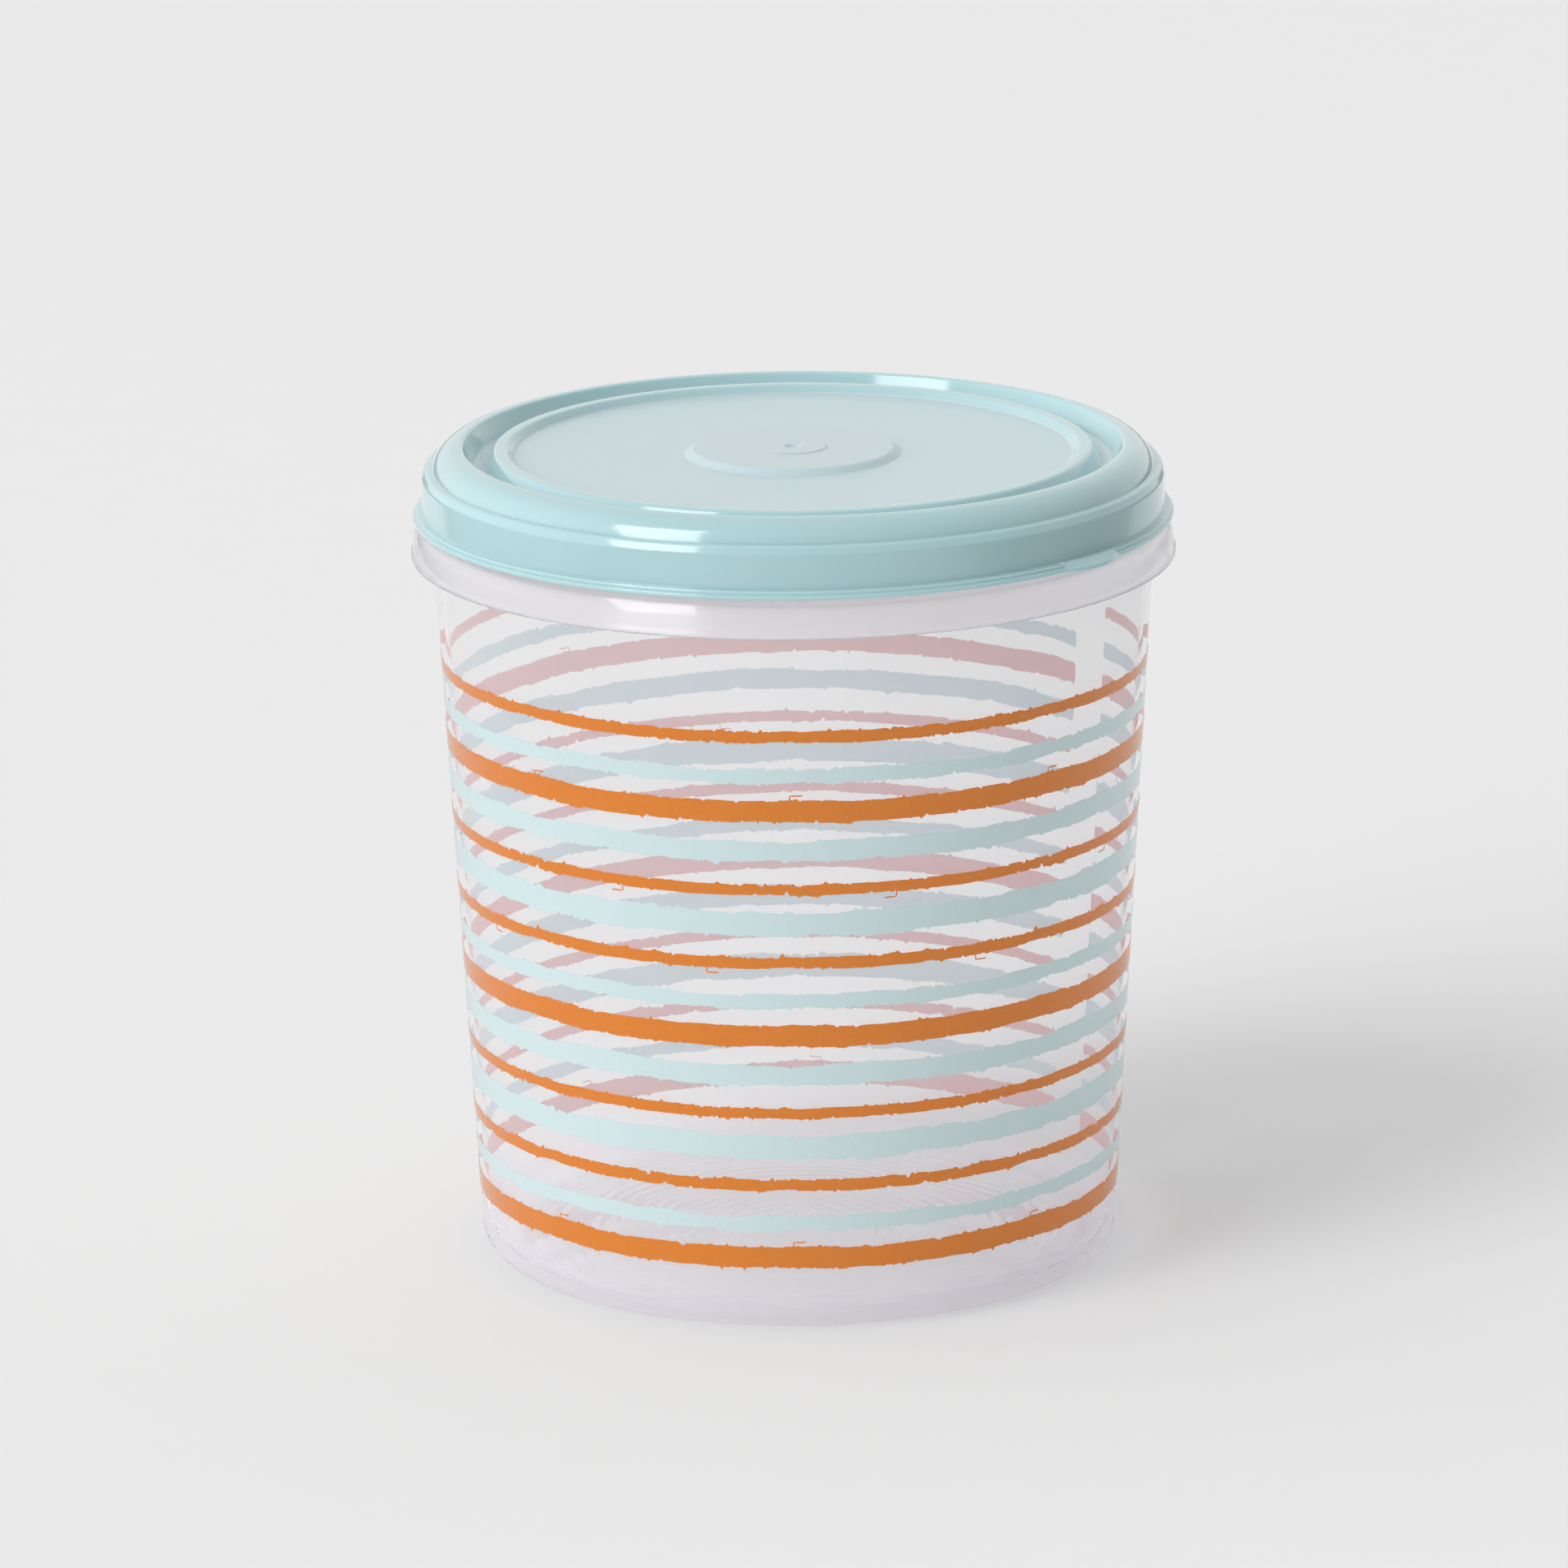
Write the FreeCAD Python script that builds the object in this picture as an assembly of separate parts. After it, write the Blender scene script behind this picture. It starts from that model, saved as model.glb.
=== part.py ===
import FreeCAD, Part
import math
import os

# A clear food canister with a snap-on lid: a moulded tub with a hanging collar, and a moulded lid.
# Millimetres and degrees, +Z up, turned about the Z axis, standing on z = 0, front towards -Y.

# Tub: wall and base
base_radius = 59.0          # outside of the wall, carried straight down to the table
wall_taper = 0.0546         # radius gained for each millimetre of height
wall = 1.6
floor = 1.8
corner_round = 5.5          # outside round between the base and the wall
foot_width = 4.0            # flat ring that the tub stands on
foot_slope = 1.2            # from the flat ring in to the recess under the base
foot_rise = 0.8             # depth of the recess
body_height = 138.5         # table to the collar's ledge

# Tub: collar that hangs round the top of the wall
collar_reach = 1.7          # from the wall out to the collar, at the ledge
collar_flare = 2.15         # how much further out its lower edge stands
collar_drop = 6.4
collar_wall = 1.3
collar_round = 1.5

# Tub: neck and rim, which the lid covers
neck_step = 2.96            # from the wall in to the neck
neck_height = 11.9          # ledge to the top of the rim
neck_blend = 4.0            # height over which the inside draws in to the neck
ring_reach = 2.15           # snap ring round the neck
ring_slope = 2.0
ring_height = 6.3           # ledge to the widest line of the snap ring

# Fit between tub and lid
fit_gap = 0.3
flange_gap = 0.75           # ledge to the underside of the lid's flange

# Lid: skirt and flange
lid_wall = 1.3
bead_reach = 1.0            # snap bead inside the skirt
bead_height = 2.2           # underside of the flange to the tightest line of the snap bead
lead_in = 0.5               # how far the mouth of the skirt opens under the bead
flange_lip = 1.65           # lip of the flange, out of the skirt
flange_lip_height = 0.85
flange_height = 1.9         # where the flange's sloping top meets the skirt
shoulder_width = 1.94       # from the skirt in to the foot of the roll
shoulder_slope = 0.8        # drop of the shoulder from the roll out to the skirt

# Lid: hollow roll over the rim, and the sealing bead inside it
roll_reach = 5.2            # from the foot of the roll in to its crown
roll_height = 3.94          # foot of the roll to the top of its crown
roll_flats = 3              # flats between the crown and the foot
roll_roof = 1.9             # thickness over the rim
crown_width = 1.4           # from the crown in to the wall of the trough
crown_round = 1.3
seal_height = 1.0           # underside of the trough to the widest line of the sealing bead

# Lid: trough, ridge, panel and centre disc
trough_depth = 4.45         # top of the roll to the floor of the trough
trough_width = 1.9
trough_outer_slope = 1.0
ridge_outer_slope = 2.3
ridge_width = 1.6
ridge_inner_slope = 1.0
ridge_rise = 1.45
panel_drop = 2.1            # top of the roll down to the panel
disc_radius = 20.0
disc_slope = 1.6
disc_rise = 1.2

# Lid: pull tab at the front right, which swells out of the flange
tab_start = -46.0
tab_end = -33.3
tab_reach = 1.45
tab_lip = 0.6
tab_height = 2.3
tab_root = 0.4              # how deep the tab is rooted in the skirt

# Rounds, which are cut into flats
flat_error = 0.35           # most that a flat may stand inside the round that it follows
round_share = 0.49          # most of a side that one round may take

# Heights that follow from the sizes above
ledge = body_height
rim_top = ledge + neck_height
collar_bottom = ledge - collar_drop
flange_bottom = ledge + flange_gap
roll_ceiling = rim_top + fit_gap
roll_top = roll_ceiling + roll_roof
shoulder = roll_top - roll_height
panel = roll_top - panel_drop
trough = roll_top - trough_depth

axis_point = FreeCAD.Vector(0, 0, 0)
axis = FreeCAD.Vector(0, 0, 1)


def wall_radius(height):
    """Outside radius of the tub's wall at a height over the table."""
    return base_radius + wall_taper * height


# Radii that follow from the sizes above, from the neck out to the flange and in to the panel
neck_radius = wall_radius(ledge) - neck_step
neck_inside = neck_radius - wall
ring_radius = neck_radius + ring_reach
bead_radius = ring_radius + fit_gap
skirt_inside = bead_radius + bead_reach
skirt_outside = skirt_inside + lid_wall
flange_radius = skirt_outside + flange_lip
roll_out = skirt_outside - shoulder_width
crown = roll_out - roll_reach
roll_in = crown - crown_width
roll_inside_in = roll_in + lid_wall
seal_radius = neck_inside - fit_gap
trough_out = roll_in - trough_outer_slope
trough_in = trough_out - trough_width
ridge_out = trough_in - ridge_outer_slope
ridge_in = ridge_out - ridge_width
panel_radius = ridge_in - ridge_inner_slope


def corner_points(before, here, after, rounding):
    """Points of the round at one corner: its arc in a few flats, limited by the corner's sides."""
    back = before - here
    ahead = after - here
    half = back.getAngle(ahead) / 2
    longest = round_share * min(back.Length, ahead.Length)
    reach = min(rounding / math.tan(half), longest)
    back.normalize()
    ahead.normalize()
    inward = back + ahead
    inward.normalize()
    centre = here + inward * (reach / math.cos(half))
    first = here + back * reach - centre
    last = here + ahead * reach - centre
    turn = math.pi - 2 * half
    radius = reach * math.tan(half)
    flats = math.ceil(turn / 2 / math.acos(1 - min(flat_error / radius, 1)))
    points = []
    for step in range(flats + 1):
        angle = turn * step / flats
        points.append(centre + (first * math.sin(turn - angle) + last * math.sin(angle)) / math.sin(turn))
    return points


def section(corners):
    """Face in the XZ plane through corners (radius, height), or (radius, height, round)."""
    places = [FreeCAD.Vector(corner[0], 0, corner[1]) for corner in corners]
    points = []
    for i, corner in enumerate(corners):
        if len(corner) == 2:
            points.append(places[i])
        else:
            after = places[(i + 1) % len(places)]
            points += corner_points(places[i - 1], places[i], after, corner[2])
    return Part.Face(Part.makePolygon(points + points[:1]))


def turned(face):
    """Solid swept by a section about the Z axis."""
    return face.revolve(axis_point, axis, 360)


def tub():
    """Tapered wall, base on a foot ring, hanging collar, and neck with its snap ring and rim."""
    foot_inside = base_radius - corner_round - foot_width
    inside_floor = foot_rise + floor
    collar_ceiling = ledge - collar_wall
    collar_top_radius = wall_radius(ledge) + collar_reach
    collar_low_radius = collar_top_radius + collar_flare
    ring = ledge + ring_height
    blend_low = ledge + wall - neck_blend
    return turned(section([
        (0, foot_rise),
        (foot_inside - foot_slope, foot_rise),
        (foot_inside, 0),
        (base_radius, 0, corner_round),
        (wall_radius(collar_ceiling), collar_ceiling),
        (collar_top_radius - collar_wall, collar_ceiling),
        (collar_low_radius - collar_wall, collar_bottom),
        (collar_low_radius, collar_bottom),
        (collar_top_radius, ledge, collar_round),
        (neck_radius, ledge),
        (neck_radius, ring - ring_slope),
        (ring_radius, ring),
        (neck_radius, ring + ring_slope),
        (neck_radius, rim_top),
        (neck_inside, rim_top),
        (neck_inside, ledge + wall),
        (wall_radius(blend_low) - wall, blend_low),
        (wall_radius(inside_floor) - wall, inside_floor, corner_round - wall),
        (0, inside_floor),
    ]))


def lid_shell():
    """Skirt and flange, roll over the rim with its sealing bead, trough, ridge, panel and disc."""
    crest = panel + ridge_rise
    disc_top = panel + disc_rise
    trough_under = trough - lid_wall
    roll_side = []
    for step in range(roll_flats + 1):
        turn = math.pi / 2 * step / roll_flats
        roll_side.append((crown + roll_reach * math.sin(turn), shoulder + roll_height * math.cos(turn)))
    top_side = [
        (0, disc_top),
        (disc_radius - disc_slope, disc_top),
        (disc_radius, panel),
        (panel_radius, panel),
        (ridge_in, crest),
        (ridge_out, crest),
        (trough_in, trough),
        (trough_out, trough),
        (roll_in, roll_top, crown_round),
    ]
    flange_side = [
        (skirt_outside, shoulder - shoulder_slope),
        (skirt_outside, flange_bottom + flange_height),
        (flange_radius, flange_bottom + flange_lip_height),
        (flange_radius, flange_bottom),
    ]
    under_side = [
        (skirt_inside + lead_in, flange_bottom),
        (bead_radius, flange_bottom + bead_height),
        (skirt_inside, shoulder - lid_wall),
        (roll_out - lid_wall, shoulder - lid_wall),
        (neck_radius + fit_gap, roll_ceiling),
        (roll_inside_in, roll_ceiling),
        (seal_radius, trough_under + seal_height),
        (roll_inside_in, trough_under),
        (trough_in - lid_wall / 2, trough_under),
        (ridge_out - lid_wall / 2, panel - lid_wall),
        (0, panel - lid_wall),
    ]
    return turned(section(top_side + roll_side + flange_side + under_side))


def polar(radius, angle):
    """Point at a radius and an angle about the Z axis, on the underside of the flange."""
    turn = math.radians(angle)
    return FreeCAD.Vector(radius * math.cos(turn), radius * math.sin(turn), flange_bottom)


def pull_tab():
    """Finger tab on the flange: a plan that swells out in one arc, under a sloping top."""
    root = skirt_outside - tab_root
    tip = flange_radius + tab_reach
    middle = (tab_start + tab_end) / 2
    plan = Part.Face(Part.Wire([
        Part.Arc(polar(flange_radius, tab_start), polar(tip, middle), polar(flange_radius, tab_end)).toShape(),
        Part.LineSegment(polar(flange_radius, tab_end), polar(root, tab_end)).toShape(),
        Part.Arc(polar(root, tab_end), polar(root, middle), polar(root, tab_start)).toShape(),
        Part.LineSegment(polar(root, tab_start), polar(flange_radius, tab_start)).toShape(),
    ]))
    slope = turned(section([
        (root, flange_bottom),
        (tip + tab_lip, flange_bottom),
        (tip, flange_bottom + tab_lip),
        (root, flange_bottom + tab_height),
    ]))
    return plan.extrude(axis * tab_height).common(slope)


def lid():
    """The lid's turned shell with its pull tab, as one moulding."""
    return lid_shell().fuse(pull_tab()).removeSplitter()


def main():
    """Write one file for each piece."""
    os.makedirs("parts", exist_ok=True)
    for name, piece in (("tub", tub()), ("lid", lid())):
        piece.exportStep(f"parts/{name}.step")
        print(name, piece.isValid(), len(piece.Solids), round(piece.Volume, 1))


main()
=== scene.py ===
import math

import bpy
import numpy as np
from mathutils import Matrix, Quaternion, Vector


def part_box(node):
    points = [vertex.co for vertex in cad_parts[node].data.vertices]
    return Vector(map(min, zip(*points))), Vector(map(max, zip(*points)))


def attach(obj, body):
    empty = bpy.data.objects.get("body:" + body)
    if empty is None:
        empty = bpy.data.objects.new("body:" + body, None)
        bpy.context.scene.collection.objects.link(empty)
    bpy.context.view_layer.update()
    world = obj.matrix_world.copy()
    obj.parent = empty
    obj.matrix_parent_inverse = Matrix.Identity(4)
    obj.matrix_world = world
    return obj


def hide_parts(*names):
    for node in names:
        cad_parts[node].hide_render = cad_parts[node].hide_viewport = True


# A clear food canister with a snap-on lid and printed stripes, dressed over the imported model.
# Lengths are in millimetres until a mesh is made, and heights are over the table. Angles are in
# degrees about the Z axis, from the front, which faces -Y, towards +X.

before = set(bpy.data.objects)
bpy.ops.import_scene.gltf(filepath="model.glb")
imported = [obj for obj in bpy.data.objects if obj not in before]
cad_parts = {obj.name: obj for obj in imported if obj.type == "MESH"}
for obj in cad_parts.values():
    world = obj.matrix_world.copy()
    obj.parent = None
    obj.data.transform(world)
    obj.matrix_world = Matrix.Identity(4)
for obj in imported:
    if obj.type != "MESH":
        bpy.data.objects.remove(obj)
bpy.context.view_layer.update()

MM = 0.001
TUB_LOW, TUB_HIGH = (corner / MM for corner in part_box("tub"))
LID_LOW, LID_HIGH = (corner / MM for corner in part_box("lid"))

# Sizes that the frame gives
RIM_TOP = TUB_HIGH.z
COLLAR_RADIUS = min(-TUB_LOW.x, -TUB_LOW.y, TUB_HIGH.x, TUB_HIGH.y)
FLANGE_BOTTOM = LID_LOW.z
FLANGE_RADIUS = min(-LID_LOW.x, -LID_LOW.y, LID_HIGH.x, LID_HIGH.y)
ROLL_TOP = LID_HIGH.z

# Tub
BASE_RADIUS = 59.0            # outside of the wall, carried straight down to the table
WALL_TAPER = 0.0546           # radius gained for each millimetre of height
WALL = 1.6
CORNER_ROUND = 5.5
FOOT_INSIDE = 49.5
FOOT_SLOPE = 1.2
FOOT_RISE = 0.8
INSIDE_FLOOR = 2.6
BASE_HAZE = 7.5               # height of the haze in the base corner
LOW_HAZE = 11.5               # height of the fainter haze over it
HAZE_TOP = 20.0               # where the tint of the haze has faded out
LEDGE = RIM_TOP - 11.9
COLLAR_BOTTOM = LEDGE - 6.4
COLLAR_FLARE = 2.15
COLLAR_WALL = 1.3
COLLAR_BEAD = 0.3             # bead along the lower edge of the collar
COLLAR_BEAD_HEIGHT = 1.0
COLLAR_TURNS = (10, 80)       # part of its curve that the collar follows, up from level
COLLAR_STEPS = 12
NECK_RADIUS = 63.6
NECK_BLEND = 4.0
RING_REACH = 2.15
RING_SLOPE = 2.0
RING_HEIGHT = LEDGE + 6.3
BLEND_ROUND = 3.0             # where the wall draws in to the neck

# Ripples that the mould left in the inside of the floor
RIPPLE_HEIGHT = 0.035
RIPPLE_LENGTH = 2.6
RIPPLE_STEP = 0.45
RIPPLE_REACH = 52.0
RIPPLE_START = 0.5
RIPPLE_FADE_IN = 10.0
RIPPLE_FADE_OUT = 3.0
RIPPLE_WAVES = ((1.3, 3, 1.0), (0.8, 5, 2.1))   # reach, count round the axis and turn of each wander
RIPPLE_TWIST = (0.5, 9, 7.0)  # the same for a wander that turns as it runs out

# Lid
LID_WALL = 1.3
SKIRT_RADIUS = 68.35
BEAD_RADIUS = 69.55           # upper bead of the flange
LIP_HEIGHT = 0.75
BEAD_HEIGHT = 1.5
LIP_STEP = 0.1                # rise of the groove between the lip and the upper bead
BEAD_STEP = 0.05
BEAD_ROUND = 0.45
BEAD_ROOT_ROUND = 0.12
SNAP_RADIUS = 66.05           # bead inside the skirt that passes the ring on the neck
SNAP_HEIGHT = 2.2
LEAD_IN = 0.5                 # how far the mouth of the skirt opens under that bead
FIT_GAP = 0.3
ROLL_OUT = 66.41              # foot of the roll
ROLL_REACH = 5.2              # from the foot of the roll in to its crown
ROLL_HEIGHT = 3.94
ROLL_STEPS = 18
ROLL_LEAN = 14                # degrees that the foot of the roll leans back from upright
SHOULDER = ROLL_TOP - ROLL_HEIGHT
SHOULDER_DROP = 1.5           # from the foot of the roll down to the skirt
SHOULDER_SLOPE = 0.7          # width of the shoulder's sloping edge
SHOULDER_DIP = 0.12
SHOULDER_ROUND = 1.3
CROWN = ROLL_OUT - ROLL_REACH
CROWN_WIDTH = 0.7             # from the crown in to the wall of the trough
CROWN_DROP = 0.4
CROWN_STEPS = 8
ROLL_IN = CROWN - CROWN_WIDTH
ROLL_INSIDE = 61.11           # hollow under the roll, on the side of the trough
SEAL_RADIUS = 61.7
SEAL_HEIGHT = 1.0
TROUGH = ROLL_TOP - 4.45
TROUGH_OUT = 58.75
TROUGH_IN = 56.91
TROUGH_PAINTED_LIGHT_HEIGHT = 1.2             # height over the trough's floor that is painted paler, as painted light in the trough
PANEL = ROLL_TOP - 2.1
PANEL_RADIUS = 51.3
CREST = PANEL + 1.45
CREST_OUT = 54.85
CREST_IN = 52.6
CREST_MARGIN = 0.5            # gloss that the ridge keeps on its inner side
DISC_TOP = PANEL + 1.1
DISC_RADIUS = 20.0
DISC_SLOPE = 1.5
DISC_ROUND = 1.2
GATE_RADIUS = 6.2             # low plateau round the mark that the mould's gate left
GATE_RISE = 0.18
GATE_SLOPE = 0.15
GATE_PIT = 1.65               # edge of the pit in the plateau, then its floor and the stub inside it
GATE_FLOOR = 0.8
GATE_DEPTH = 0.45
GATE_STUB = 0.35
GATE_STUB_DROP = 0.1

# Pull tab, which swells out of the lid's flange
TAB_START = 44.0
TAB_END = 56.7
TAB_REACH = 1.45
TAB_LIP = 0.6
TAB_TOP = 2.3
TAB_MARGIN = 0.5              # the even columns stop this far beside the tab
TAB_BESIDE = 0.1              # columns just beside the tab
TAB_LAST = 0.05               # from the tab's last column to its end

# Meshes
COLUMNS = 360
TAB_COLUMNS = 60
ROUND_STEP = 10.0             # turn of one facet of a round
ROUND_SHARE = 0.49            # most of a side that one round may take
STRAIGHT_END = 0.15           # length of the facet that keeps a straight side straight beside a round
SHARP = 35.0                  # a bend over this stays sharp
ON_AXIS = 0.0015              # a point nearer to the axis than this lies on it

# Rounds that several corners share
ROUND_HAIR = 0.1
ROUND_CRISP = 0.2
ROUND_FINE = 0.3
ROUND_EDGE = 0.4
ROUND_SMALL = 0.5
ROUND_RIM = 0.6
ROUND_SOFT = 0.8
ROUND_WIDE = 0.9
ROUND_FULL = 1.0

# Places of the finishes in the lists that the tub and the lid are given
WALL_FINISH, COLLAR_FINISH, BASE_FINISH, FLOOR_FINISH, LOW_FINISH, NECK_FINISH = range(6)
# The satin and disc finishes carry painted sheen: colours paler than the gloss, for the pale backdrop's
# reflection on the lid's top.
# The trough finish is painted light: the gloss in a paler colour, for the trough that the roll shades.
GLOSS_FINISH, SATIN_SHEEN_FINISH, DISC_SHEEN_FINISH, TROUGH_PAINTED_LIGHT_FINISH = range(4)

# Printed stripes: repeats up the wall and round it, tears along their edges, and the ink's two faces
REPEAT_TOP = 114.13
REPEAT_HEIGHT = 42.4
TILE_START = -23.5            # the artwork repeats round the wall too
TILE_TURN = 45.82
TILE_WIDTH = 50.4
PRINT_START = -235.4
PRINT_END = 116.0
START_SPREAD = 0.25           # how far the starts of the stripes differ, to either side
PRINT_COLUMN = 0.22           # length of one step along an edge
PRINT_GRAIN = 0.03            # fine unevenness of an edge
WAVES = (1, 2, 3, 5, 8)       # waves of an edge over one tile
BITE_COUNT = 8                # broad tears along one edge of a tile
BITE_LENGTHS = (0.7, 3.4)
BITE_DEPTH = 0.24
TEAR_COUNT = 26               # small tears along one edge of a tile
TEAR_LENGTHS = (0.25, 0.9)
TEAR_DEPTH = 0.36
TEAR_SLOPE = 0.12             # length over which a tear reaches its depth
LEAST_WIDTH = 1.3             # a stripe's tears leave this much of it
END_ROUND = 1.2               # width that the rounded start takes off
INK_INNER = 0.02
INK_OUTER = 0.07


def wall_radius(height):
    """Outside radius of the tub's wall at a height over the table."""
    return BASE_RADIUS + WALL_TAPER * height


def round_points(before, here, after, rounding):
    """Points of the round at one corner, between two short straights."""
    back = before - here
    ahead = after - here
    half = back.angle(ahead) / 2
    longest = ROUND_SHARE * min(back.length, ahead.length)
    reach = min(rounding / math.tan(half), longest)
    straight = min(reach + STRAIGHT_END, longest + STRAIGHT_END / 10)
    back.normalize()
    ahead.normalize()
    centre = here + (back + ahead).normalized() * (reach / math.cos(half))
    first = here + back * reach - centre
    last = here + ahead * reach - centre
    turn = math.pi - 2 * half
    facets = max(2, math.ceil(math.degrees(turn) / ROUND_STEP))
    points = [here + back * straight]
    for step in range(facets + 1):
        angle = turn * step / facets
        points.append(centre + (first * math.sin(turn - angle) + last * math.sin(angle)) / math.sin(turn))
    return points + [here + ahead * straight]


def outline(corners):
    """Outline through corners (radius, height), or (radius, height, round)."""
    places = [Vector(corner[:2]) for corner in corners]
    points = []
    for i, corner in enumerate(corners):
        if len(corner) == 2:
            points.append(places[i])
        else:
            points += round_points(places[i - 1], places[i], places[i + 1], corner[2])
    return points


def curve(middle, level, reach, rise, first, last, steps):
    """Points of an elliptical curve about its centre, between two turns up from level."""
    turns = np.radians(np.linspace(first, last, steps))
    return [(middle + reach * math.cos(turn), level + rise * math.sin(turn)) for turn in turns]


def spot(radius, angle, height):
    """Point of a mesh, in metres."""
    turn = math.radians(angle)
    return (radius * math.sin(turn) * MM, -radius * math.cos(turn) * MM, height * MM)


def mesh_piece(name, points, faces, materials, face_slots=None):
    """Piece with smooth faces, and edges that stay sharp where it bends hard."""
    mesh = bpy.data.meshes.new(name)
    mesh.from_pydata(points, [], faces)
    mesh.shade_smooth()
    mesh.set_sharp_from_angle(angle=math.radians(SHARP))
    for material in materials:
        mesh.materials.append(material)
    if face_slots:
        mesh.polygons.foreach_set("material_index", face_slots)
    piece = bpy.data.objects.new(name, mesh)
    bpy.context.scene.collection.objects.link(piece)
    return piece


def turned(name, profile, angles, materials, shape=None, slot_at=None):
    """Piece swept by an outline about the Z axis, from the axis under it to the axis over it."""
    points = []
    rows = []
    for radius, height in profile:
        if radius < ON_AXIS:
            rows.append([len(points)] * len(angles))
            points.append(spot(0, 0, height))
            continue
        rows.append(list(range(len(points), len(points) + len(angles))))
        for angle in angles:
            bent = shape(radius, height, angle) if shape else (radius, height)
            points.append(spot(bent[0], angle, bent[1]))
    faces = []
    face_slots = []
    for i, (low, high) in enumerate(zip(rows, rows[1:])):
        for j in range(len(angles)):
            k = (j + 1) % len(angles)
            corners = (low[j], low[k], high[k], high[j])
            faces.append(tuple(dict.fromkeys(corners)))
            face_slots.append(slot_at(profile[i], profile[i + 1]) if slot_at else 0)
    return mesh_piece(name, points, faces, materials, face_slots)


def place(tree, kind, inputs=None, **settings):
    """Node in a tree, with its settings, and a value or a link for each input named."""
    made = tree.nodes.new(kind)
    for key, value in settings.items():
        setattr(made, key, value)
    for key, value in (inputs or {}).items():
        if isinstance(value, bpy.types.NodeSocket):
            tree.links.new(value, made.inputs[key])
        else:
            made.inputs[key].default_value = value
    return made


def new_group(name, inputs, outputs):
    """Empty node group with named sockets, and the nodes at its two ends."""
    tree = bpy.data.node_groups.new(name, "ShaderNodeTree")
    for label, kind in inputs:
        tree.interface.new_socket(name=label, in_out="INPUT", socket_type=kind)
    for label, kind in outputs:
        tree.interface.new_socket(name=label, in_out="OUTPUT", socket_type=kind)
    return tree, tree.nodes.new("NodeGroupInput").outputs, tree.nodes.new("NodeGroupOutput").inputs


def streaks(tree, coordinates, scale, turn, low, high):
    """Mask of thin streaks: noise that is stretched, turned, and cut off below a level."""
    mapping = place(tree, "ShaderNodeMapping", {"Vector": coordinates, "Rotation": turn, "Scale": scale})
    noise = place(tree, "ShaderNodeTexNoise", {"Vector": mapping.outputs[0], "Scale": 1.0, "Detail": 2.0})
    cut = place(
        tree, "ShaderNodeMapRange",
        {"Value": noise.outputs[0], "From Min": low, "From Max": high}, interpolation_type="SMOOTHSTEP",
    )
    return cut.outputs[0]


def fine_wear():
    """Group for moulded plastic: hairline scratches and faint haze in its gloss, and fine grain."""
    tree, given, put = new_group(
        "fine_wear",
        [("Smooth", "NodeSocketFloat"), ("Scratched", "NodeSocketFloat"), ("Grain", "NodeSocketFloat")],
        [("Roughness", "NodeSocketFloat"), ("Height", "NodeSocketFloat")],
    )
    coordinates = place(tree, "ShaderNodeTexCoord").outputs["Object"]
    first = streaks(tree, coordinates, scale=(30, 900, 1400), turn=(0.3, 0.9, 0.4), low=0.66, high=0.74)
    second = streaks(tree, coordinates, scale=(1100, 40, 800), turn=(1.1, 0.2, 0.8), low=0.67, high=0.75)
    both = place(tree, "ShaderNodeMath", {0: first, 1: second}, operation="MAXIMUM")
    haze = place(tree, "ShaderNodeTexNoise", {"Vector": coordinates, "Scale": 90.0, "Detail": 4.0})
    amount = place(tree, "ShaderNodeMath", {0: both.outputs[0], 1: haze.outputs[0]}, operation="MULTIPLY")
    rough = place(
        tree, "ShaderNodeMapRange",
        {"Value": amount.outputs[0], "To Min": given["Smooth"], "To Max": given["Scratched"]},
    )
    grain = place(
        tree, "ShaderNodeTexNoise", {"Vector": coordinates, "Scale": given["Grain"], "Detail": 3.0}
    )
    tree.links.new(rough.outputs[0], put["Roughness"])
    tree.links.new(grain.outputs[0], put["Height"])
    return tree


def print_mottle():
    """Group for printed ink: a woven mottle of fuller and thinner ink, with pale specks."""
    tree, given, put = new_group(
        "print_mottle",
        [("Full", "NodeSocketColor"), ("Thin", "NodeSocketColor"), ("Bare", "NodeSocketColor"),
         ("Mottle", "NodeSocketFloat")],
        [("Color", "NodeSocketColor"), ("Height", "NodeSocketFloat")],
    )
    coordinates = place(tree, "ShaderNodeTexCoord").outputs["Object"]
    across = streaks(tree, coordinates, scale=(350, 350, 3600), turn=(0, 0, 0), low=0.3, high=0.75)
    upright = streaks(tree, coordinates, scale=(3600, 3600, 260), turn=(0, 0, 0), low=0.3, high=0.75)
    weave = place(tree, "ShaderNodeMath", {0: across, 1: upright}, operation="MULTIPLY")
    amount = place(tree, "ShaderNodeMath", {0: weave.outputs[0], 1: given["Mottle"]}, operation="MULTIPLY")
    mottled = place(
        tree, "ShaderNodeMixRGB", {"Fac": amount.outputs[0], "Color1": given["Full"], "Color2": given["Thin"]}
    )
    specks = streaks(tree, coordinates, scale=(1500, 1500, 1500), turn=(0, 0, 0), low=0.74, high=0.79)
    speckled = place(
        tree, "ShaderNodeMixRGB", {"Fac": specks, "Color1": mottled.outputs[0], "Color2": given["Bare"]}
    )
    tree.links.new(speckled.outputs[0], put["Color"])
    tree.links.new(weave.outputs[0], put["Height"])
    return tree


def new_material(name):
    """Material with an empty node tree, its shader and its output."""
    material = bpy.data.materials.new(name)
    material.use_nodes = True
    tree = material.node_tree
    tree.nodes.clear()
    shader = tree.nodes.new("ShaderNodeBsdfPrincipled")
    output = tree.nodes.new("ShaderNodeOutputMaterial")
    tree.links.new(shader.outputs[0], output.inputs["Surface"])
    return material, tree, shader, output


def use_group(tree, group, inputs):
    """A shared group placed in a material with that material's own values."""
    made = place(tree, "ShaderNodeGroup", node_tree=group)
    for key, value in inputs.items():
        made.inputs[key].default_value = value
    return made.outputs


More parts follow.
